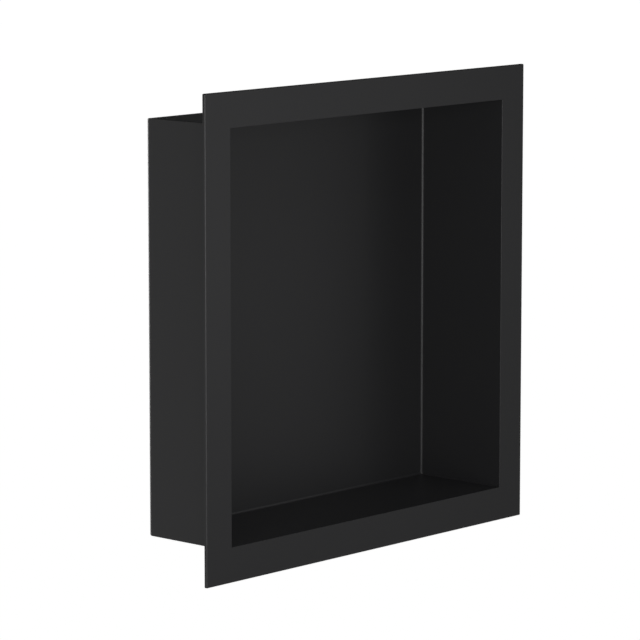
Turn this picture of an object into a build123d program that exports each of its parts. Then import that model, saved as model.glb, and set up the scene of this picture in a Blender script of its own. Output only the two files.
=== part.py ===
from build123d import *
import os

# Shower niche insert: an open-fronted square box of sheet steel with a flat frame round its mouth.
# The back panel and the four walls are folded from one blank. The corner seams between the walls and
# the frame round the mouth are welded, ground flush and coated over, so it all becomes one piece.
# Millimetres. The origin is the centre of the frame's back, which lies on the wall: the wall plane
# is XZ, the box runs into the wall along +Y, the mouth faces -Y and +Z is up.

# Driving sizes
frame_width = 300.0
frame_height = 300.0
frame_overlap = 20.0  # how far the frame laps over the wall, past the outside of the box
overall_depth = 70.0  # from the front of the frame to the outside of the back panel
sheet = 2.0  # thickness of the box walls, the back panel and the frame
fold_radius = 1.5  # inside of the folds between the back panel and the walls
seam_radius = 0.3  # nearly sharp corner seams between the walls, outside and inside
weld_radius = 1.5  # weld in the corner between the box and the back of the frame
rim_radius = 0.8  # softened edge of the frame, round its front and at its four corners
mouth_radius = 0.3  # nearly sharp edge where the frame turns into the box

# Sizes that follow from them
box_width = frame_width - 2 * frame_overlap
box_height = frame_height - 2 * frame_overlap
box_depth = overall_depth - sheet
mouth_width = box_width - 2 * sheet
mouth_height = box_height - 2 * sheet
mouth_depth = overall_depth - sheet

os.makedirs("parts", exist_ok=True)

with BuildPart() as niche_insert:
    # The frame is a flat plate in front of the wall plane, eased at its rim and its four corners.
    with BuildSketch(Plane.XZ):
        Rectangle(frame_width, frame_height)
    extrude(amount=sheet)
    front_rim = niche_insert.faces().sort_by(Axis.Y)[0].edges()
    frame_corners = niche_insert.edges().filter_by(Axis.Y)
    fillet(front_rim + frame_corners, radius=rim_radius)

    # The box stands behind the frame. Its folds go round the outside of the sheet, and its corner
    # seams run down from the frame and over the folds.
    with BuildSketch(Plane.XZ):
        Rectangle(box_width, box_height)
    extrude(amount=-box_depth)
    back_edges = niche_insert.edges(Select.LAST).group_by(Axis.Y)[-1]
    fillet(back_edges, radius=fold_radius + sheet)
    seams = niche_insert.edges().filter_by(Axis.Y).group_by(SortBy.LENGTH)[-1]
    fillet(seams, radius=seam_radius)

    # The weld behind the frame fills the corner all the way round the box.
    frame_back = niche_insert.faces().filter_by(Plane.XZ).sort_by(Axis.Y)[1]
    fillet(frame_back.inner_wires()[0].edges(), radius=weld_radius)

    # The hollow leaves walls and a back panel of one sheet, round in the folds and crisp in the seams.
    with BuildSketch(Plane.XZ.offset(sheet)):
        Rectangle(mouth_width, mouth_height)
    extrude(amount=-mouth_depth, mode=Mode.SUBTRACT)
    inner_back_edges = niche_insert.edges(Select.LAST).group_by(Axis.Y)[-1]
    fillet(inner_back_edges, radius=fold_radius)
    inner_seams = niche_insert.edges().filter_by(Axis.Y).group_by(SortBy.LENGTH)[-1]
    fillet(inner_seams, radius=seam_radius)

    # The mouth's edge is only just eased where the frame turns into the box.
    frame_front = niche_insert.faces().filter_by(Plane.XZ).sort_by(Axis.Y)[0]
    fillet(frame_front.inner_wires()[0].edges(), radius=mouth_radius)

niche_insert.part.label = "niche_insert"
export_step(niche_insert.part, "parts/niche_insert.step")
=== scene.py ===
import math

import bpy
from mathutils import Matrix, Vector


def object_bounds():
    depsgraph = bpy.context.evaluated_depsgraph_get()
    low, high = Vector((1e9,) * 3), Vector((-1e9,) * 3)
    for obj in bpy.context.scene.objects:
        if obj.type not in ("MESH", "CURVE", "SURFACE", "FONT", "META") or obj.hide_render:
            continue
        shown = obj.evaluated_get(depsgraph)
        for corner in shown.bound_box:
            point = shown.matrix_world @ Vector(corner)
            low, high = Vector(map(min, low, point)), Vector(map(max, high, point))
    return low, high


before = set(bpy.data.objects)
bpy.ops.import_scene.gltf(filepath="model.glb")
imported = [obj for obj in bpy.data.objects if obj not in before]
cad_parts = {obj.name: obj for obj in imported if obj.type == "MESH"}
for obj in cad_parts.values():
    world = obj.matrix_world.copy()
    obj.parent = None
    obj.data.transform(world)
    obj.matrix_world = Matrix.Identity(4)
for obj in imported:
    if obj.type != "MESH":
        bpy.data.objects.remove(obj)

# Shower niche insert: an open-fronted box with a flat frame, in a satin black powder coat, above a
# plain pale studio floor.

# The box of the solids, whose lowest edge sets the floor's height.
cad_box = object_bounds()

# Places are in metres and angles in degrees. Azimuth 0 is straight in front of the mouth and grows
# towards +X, and elevation is above the horizon.

# Camera
VIEW_AZIMUTH = -47.80
VIEW_ELEVATION = 8.58
VIEW_DISTANCE = 2.324
VIEW_TARGET = Vector((-0.0211, 0.0226, -0.0024))
LENS = 207.8  # millimetres
SENSOR_WIDTH = 36.0  # millimetres

# Stage: a round floor with a low cove all round, well below the insert, which is made for a wall
FLOOR_DROP = 0.60  # from the insert's lowest edge to the floor
FLOOR_RADIUS = 13.5
COVE_RADIUS = 1.6
COVE_STEPS = 8
STAGE_SIDES = 96
FLOOR_WHITE = 0.80

# The lit floor is topped up where it is looked at or mirrored: to pale in front of the insert, where
# the frame mirrors it, and to white behind it, where it is the background.
PALE_TOP_UP = 0.45
WHITE_TOP_UP = 1.0
WHITE_AZIMUTH = 200.0  # which way the floor turns from pale to white
WHITE_FROM = -0.6  # where along that way it begins to turn, in front of the insert
WHITE_TO = 0.4  # and where it is white, behind the insert

# Light. A level of 1 lights a white card, turned to the lamp at the mouth, to plain white.
ROOM_LEVEL = 0.02
LAMPS = {
    # name: azimuth, elevation, distance, side of the square panel, level
    "key": (-20.0, 8.0, 0.9, 0.5, 0.65),
    "left": (-60.0, 0.0, 0.9, 0.6, 0.80),
    "right": (35.0, 0.0, 0.9, 0.4, 0.06),
    "upper_right": (45.0, 35.0, 1.5, 0.9, 0.12),
    "top": (-10.0, 60.0, 1.5, 0.9, 0.32),
    "back": (180.0, 5.0, 1.3, 0.8, 0.60),
    "side": (108.0, -12.0, 1.6, 0.9, 0.20),
}

# Satin black powder coat. Scales are in waves per metre.
COAT_DARK = (0.0085, 0.0085, 0.0090, 1.0)
COAT_LIGHT = (0.0105, 0.0105, 0.0111, 1.0)
COAT_IOR = 1.30
COAT_ROUGHNESS_LOW = 0.40
COAT_ROUGHNESS_HIGH = 0.44
CLOUD_SCALE = 24.0  # broad, faint drifts in the gloss
CLOUD_DETAIL = 2.0
PEEL_SCALE = 620.0  # the slight orange peel of a flowed powder
PEEL_HEIGHT = 0.000012
GRAIN_SCALE = 5200.0  # the powder's own grain
GRAIN_HEIGHT = 0.000002
FINE_DETAIL = 1.0  # in the peel and in the grain


def direction(azimuth, elevation):
    """The unit vector from the insert towards a place in the studio."""
    turn = math.radians(azimuth)
    rise = math.radians(elevation)
    return Vector((math.sin(turn) * math.cos(rise), -math.cos(turn) * math.cos(rise), math.sin(rise)))


def add_object(name, data):
    """A new object in the scene."""
    made = bpy.data.objects.new(name, data)
    bpy.context.scene.collection.objects.link(made)
    return made


def aim(thing, towards):
    """Turns a lamp or a camera to look along a direction, with its top up."""
    thing.rotation_mode = "QUATERNION"
    thing.rotation_quaternion = towards.to_track_quat("-Z", "Y")


def new_material(name):
    """An empty node material and its tree."""
    material = bpy.data.materials.new(name)
    material.use_nodes = True
    material.node_tree.nodes.clear()
    return material, material.node_tree


def add_node(tree, kind, inputs=None, **settings):
    """A node with its settings, and with plain values or other nodes' outputs on its inputs."""
    node = tree.nodes.new(kind)
    for name, value in settings.items():
        setattr(node, name, value)
    for name, value in (inputs or {}).items():
        if isinstance(value, bpy.types.NodeSocket):
            tree.links.new(value, node.inputs[name])
        else:
            node.inputs[name].default_value = value
    return node


def maths(tree, operation, first, second):
    """What a Math node makes of two outputs."""
    made = add_node(tree, "ShaderNodeMath", {0: first, 1: second}, operation=operation)
    return made.outputs["Value"]


def noise(tree, place, scale, detail):
    """A noise between 0 and 1, of a scale in waves per metre."""
    made = add_node(tree, "ShaderNodeTexNoise", {"Vector": place, "Scale": scale, "Detail": detail})
    return made.outputs["Fac"]


def powder_coat():
    """Satin black powder coat: near black, softly glossy, with a faint orange peel and grain."""
    material, tree = new_material("powder_coat")
    place = add_node(tree, "ShaderNodeTexCoord").outputs["Object"]
    cloud = noise(tree, place, CLOUD_SCALE, CLOUD_DETAIL)
    peel = noise(tree, place, PEEL_SCALE, FINE_DETAIL)
    grain = noise(tree, place, GRAIN_SCALE, FINE_DETAIL)

    colour = add_node(tree, "ShaderNodeMix", {
        "Factor": grain, "A": COAT_DARK, "B": COAT_LIGHT}, data_type="RGBA")
    roughness = add_node(tree, "ShaderNodeMapRange", {
        "Value": cloud, "To Min": COAT_ROUGHNESS_LOW, "To Max": COAT_ROUGHNESS_HIGH})
    peel_bump = add_node(tree, "ShaderNodeBump", {"Height": peel, "Distance": PEEL_HEIGHT})
    grain_bump = add_node(tree, "ShaderNodeBump", {
        "Height": grain, "Distance": GRAIN_HEIGHT, "Normal": peel_bump.outputs["Normal"]})

    coat = add_node(tree, "ShaderNodeBsdfPrincipled", {
        "Base Color": colour.outputs["Result"], "Roughness": roughness.outputs["Result"],
        "IOR": COAT_IOR, "Normal": grain_bump.outputs["Normal"]})
    add_node(tree, "ShaderNodeOutputMaterial", {"Surface": coat.outputs["BSDF"]})
    return material


def stage_white():
    """Matt white that keeps its shadows, topped up where it is looked at or mirrored."""
    material, tree = new_material("stage_white")
    path = add_node(tree, "ShaderNodeLightPath").outputs
    mirrored = maths(tree, "MAXIMUM", path["Is Glossy Ray"], path["Is Transmission Ray"])
    seen = maths(tree, "MAXIMUM", path["Is Camera Ray"], mirrored)

    place = add_node(tree, "ShaderNodeNewGeometry").outputs["Position"]
    along = add_node(tree, "ShaderNodeVectorMath", {
        0: place, 1: direction(WHITE_AZIMUTH, 0.0)}, operation="DOT_PRODUCT")
    top_up = add_node(tree, "ShaderNodeMapRange", {
        "Value": along.outputs["Value"], "From Min": WHITE_FROM, "From Max": WHITE_TO,
        "To Min": PALE_TOP_UP, "To Max": WHITE_TOP_UP}, interpolation_type="SMOOTHSTEP")
    strength = maths(tree, "MULTIPLY", seen, top_up.outputs["Result"])

    matt = add_node(tree, "ShaderNodeBsdfDiffuse", {"Color": (FLOOR_WHITE, FLOOR_WHITE, FLOOR_WHITE, 1.0)})
    glow = add_node(tree, "ShaderNodeEmission", {"Strength": strength})
    both = add_node(tree, "ShaderNodeAddShader", {0: matt.outputs["BSDF"], 1: glow.outputs["Emission"]})
    add_node(tree, "ShaderNodeOutputMaterial", {"Surface": both.outputs["Shader"]})
    return material


def cove_ring(step):
    """How far out a ring of the cove lies, and how far above the floor."""
    bend = math.pi / 2 * step / COVE_STEPS
    return FLOOR_RADIUS + COVE_RADIUS * math.sin(bend), COVE_RADIUS * (1 - math.cos(bend))


def make_stage():
    """The floor: a flat disc whose rim turns up into a low cove."""
    floor_height = cad_box[0].z - FLOOR_DROP
    points = []
    for step in range(COVE_STEPS + 1):
        radius, rise = cove_ring(step)
        for side in range(STAGE_SIDES):
            turn = 2 * math.pi * side / STAGE_SIDES
            points.append((radius * math.cos(turn), radius * math.sin(turn), floor_height + rise))

    faces = [list(range(STAGE_SIDES))]
    for step in range(COVE_STEPS):
        low = step * STAGE_SIDES
        high = low + STAGE_SIDES
        for side in range(STAGE_SIDES):
            after = (side + 1) % STAGE_SIDES
            faces.append([low + side, low + after, high + after, high + side])

    mesh = bpy.data.meshes.new("stage")
    mesh.from_pydata(points, [], faces)
    mesh.materials.append(stage_white())
    mesh.shade_smooth()
    add_object("stage", mesh)


def make_lamp(name, azimuth, elevation, distance, side, level):
    """A square soft lamp that faces the middle of the mouth."""
    data = bpy.data.lights.new(name, "AREA")
    data.shape = "SQUARE"
    data.size = side
    data.energy = level * (math.pi * distance) ** 2
    lamp = add_object(name, data)
    towards = direction(azimuth, elevation)
    lamp.location = towards * distance
    aim(lamp, -towards)
    lamp.visible_camera = False


def make_room():
    """The dim, even light of the studio round the lamps."""
    room = bpy.data.worlds.new("room")
    room.use_nodes = True
    air = room.node_tree.nodes["Background"]
    air.inputs["Color"].default_value = (1.0, 1.0, 1.0, 1.0)
    air.inputs["Strength"].default_value = ROOM_LEVEL
    bpy.context.scene.world = room


def make_camera():
    """The camera at the photograph's viewing angle."""
    data = bpy.data.cameras.new("camera")
    data.sensor_width = SENSOR_WIDTH
    data.lens = LENS
    camera = add_object("camera", data)
    back = direction(VIEW_AZIMUTH, VIEW_ELEVATION)
    camera.location = VIEW_TARGET + back * VIEW_DISTANCE
    aim(camera, -back)
    bpy.context.scene.camera = camera


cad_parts["niche_insert"].material_slots[0].material = powder_coat()
make_stage()
for lamp_name, lamp_values in LAMPS.items():
    make_lamp(lamp_name, *lamp_values)
make_room()
make_camera()
bpy.context.scene.view_settings.view_transform = "Standard"
